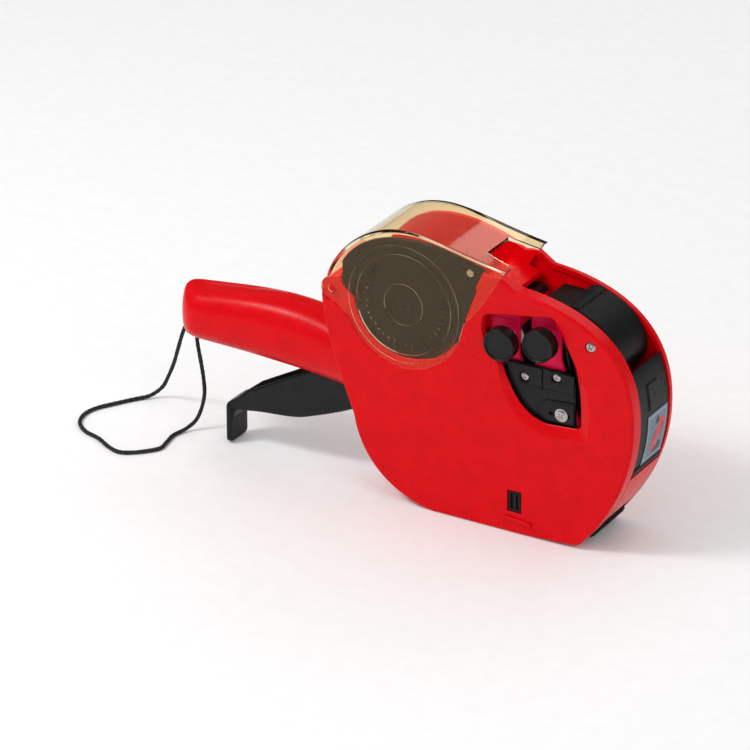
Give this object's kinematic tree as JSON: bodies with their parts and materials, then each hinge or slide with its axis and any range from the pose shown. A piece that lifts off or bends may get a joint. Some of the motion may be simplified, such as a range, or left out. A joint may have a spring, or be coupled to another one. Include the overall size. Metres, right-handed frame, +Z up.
{
  "type": "price labeling gun",
  "caption": "Hand-held two-line price labeling gun with a squeeze trigger, swinging print head, selector knobs, clear label-roll cover and wrist strap.",
  "frame": {"origin": "middle of the flat rest face under the body, on the centre plane", "axes": "+X to the front where labels come out, +Z up, the knob side (right-hand side) at -Y"},
  "size_m": [0.284, 0.0615, 0.1317],
  "materials": {
    "casing_red": "satin moulded red plastic",
    "amber_clear": "clear amber plastic",
    "black_plastic": "fine-grained black plastic",
    "black_satin": "smooth satin black plastic",
    "magenta_plastic": "crimson plastic",
    "white_plastic": "natural acetal",
    "steel": "zinc-plated steel",
    "rubber": "black rubber",
    "ink_foam": "inked felt",
    "sticker_print": "printed film",
    "braid": "braided polyester"
  },
  "bodies": {
    "casing": {"right_shell": "casing_red", "left_shell": "casing_red", "shell_screws": "steel", "cover_hinge_pins": "casing_red", "roll_side_plate": "black_plastic", "roll_plate_screw": "steel", "roll_cradle": "casing_red", "label_guide": "casing_red", "inner_frame": "black_plastic", "platen": "black_plastic", "main_shaft": "steel", "trigger_spring": "steel", "ink_cover_pin": "steel", "ink_roller_core": "white_plastic", "roller_axle": "steel", "pawl_pin": "steel", "base_cover_pin": "steel", "wrist_strap": "braid"},
    "cover": {"label_cover": "amber_clear"},
    "right_hub": {"right_roll_hub": "black_plastic"},
    "left_hub": {"left_roll_hub": "black_plastic"},
    "trigger": {"trigger_lever": "black_satin"},
    "head": {"head_frame": "black_plastic", "head_cover": "black_satin", "rear_band_case": "magenta_plastic", "front_band_case": "magenta_plastic", "rear_type_bands": "rubber", "front_type_bands": "rubber", "rear_band_wheels": "white_plastic", "front_band_wheels": "white_plastic", "rear_band_plate": "black_plastic", "front_band_plate": "black_plastic", "head_plate_screws": "steel", "adjust_bracket": "black_plastic", "adjust_screw": "steel"},
    "rear_slider": {"rear_selector_sleeve": "white_plastic"},
    "rear_dial": {"rear_knob": "black_satin", "rear_selector_shaft": "steel"},
    "front_slider": {"front_selector_sleeve": "white_plastic"},
    "front_dial": {"front_knob": "black_satin", "front_selector_shaft": "steel"},
    "ink_unit": {"ink_cover": "black_satin", "ink_sticker": "sticker_print"},
    "ink_wheel": {"ink_roller": "ink_foam"},
    "label_roller": {"applicator_roller": "rubber"},
    "feed": {"feed_wheel": "black_plastic", "ratchet_wheel": "white_plastic", "feed_axle": "steel"},
    "pawl": {"feed_pawl": "white_plastic"},
    "base_door": {"base_cover": "black_plastic"},
    "right_catch": {"right_latch": "black_plastic"},
    "left_catch": {"left_latch": "black_plastic"}
  },
  "joints": [
    {"name": "trigger_squeeze", "type": "hinge", "parent": "casing", "child": "trigger", "pos_m": [-0.0425, 0, 0.058], "axis": [0, 1, 0], "range_deg": [0, 18], "stiffness_Nm_per_rad": 0.35, "springref_deg": -14.32},
    {"name": "head_swing", "type": "hinge", "parent": "casing", "child": "head", "pos_m": [-0.0425, 0, 0.058], "axis": [0, 1, 0], "range_deg": [0, 18], "stiffness_Nm_per_rad": 0.6, "springref_deg": -14.32},
    {"name": "cover_open", "type": "hinge", "parent": "casing", "child": "cover", "pos_m": [-0.073, 0, 0.0964], "axis": [0, -1, 0], "range_deg": [0, 95]},
    {"name": "right_hub_spin", "type": "hinge", "parent": "casing", "child": "right_hub", "pos_m": [-0.0369, 0, 0.0965], "axis": [0, 1, 0], "continuous": true},
    {"name": "left_hub_spin", "type": "hinge", "parent": "casing", "child": "left_hub", "pos_m": [-0.0369, 0, 0.0965], "axis": [0, 1, 0], "continuous": true},
    {"name": "rear_knob_pull", "type": "slide", "parent": "head", "child": "rear_slider", "axis": [0, -1, 0], "range_m": [0, 0.016]},
    {"name": "rear_knob_turn", "type": "hinge", "parent": "rear_slider", "child": "rear_dial", "pos_m": [0.0135, 0, 0.0915], "axis": [0, 1, 0], "continuous": true},
    {"name": "front_knob_pull", "type": "slide", "parent": "head", "child": "front_slider", "axis": [0, -1, 0], "range_m": [0, 0.016]},
    {"name": "front_knob_turn", "type": "hinge", "parent": "front_slider", "child": "front_dial", "pos_m": [0.0323, 0, 0.0953], "axis": [0, 1, 0], "continuous": true},
    {"name": "ink_cover_open", "type": "hinge", "parent": "casing", "child": "ink_unit", "pos_m": [0.0703, 0, 0.0384], "axis": [0, 1, 0], "range_deg": [0, 70]},
    {"name": "ink_roller_spin", "type": "hinge", "parent": "casing", "child": "ink_wheel", "pos_m": [0.0598, 0, 0.0335], "axis": [0, 1, 0], "continuous": true},
    {"name": "label_roller_spin", "type": "hinge", "parent": "casing", "child": "label_roller", "pos_m": [0.0505, 0, 0.0083], "axis": [0, 1, 0], "continuous": true},
    {"name": "feed_wheel_spin", "type": "hinge", "parent": "casing", "child": "feed", "pos_m": [0.002, 0, 0.016], "axis": [0, 1, 0], "continuous": true},
    {"name": "pawl_tilt", "type": "hinge", "parent": "casing", "child": "pawl", "pos_m": [-0.012, 0, 0.027], "axis": [0, -1, 0], "range_deg": [0, 12], "stiffness_Nm_per_rad": 0.002, "springref_deg": -20.05},
    {"name": "base_cover_open", "type": "hinge", "parent": "casing", "child": "base_door", "pos_m": [0.0418, 0, 0.002], "axis": [0, -1, 0], "range_deg": [0, 60]},
    {"name": "right_latch_press", "type": "slide", "parent": "casing", "child": "right_catch", "axis": [0, 1, 0], "range_m": [0, 0.0008], "stiffness_N_per_m": 400, "springref_m": -0.0015},
    {"name": "left_latch_press", "type": "slide", "parent": "casing", "child": "left_catch", "axis": [0, -1, 0], "range_m": [0, 0.0008], "stiffness_N_per_m": 400, "springref_m": -0.0015}
  ],
  "couplings": [
    {"joint": "head_swing", "follows": "trigger_squeeze", "ratio": 1}
  ]
}
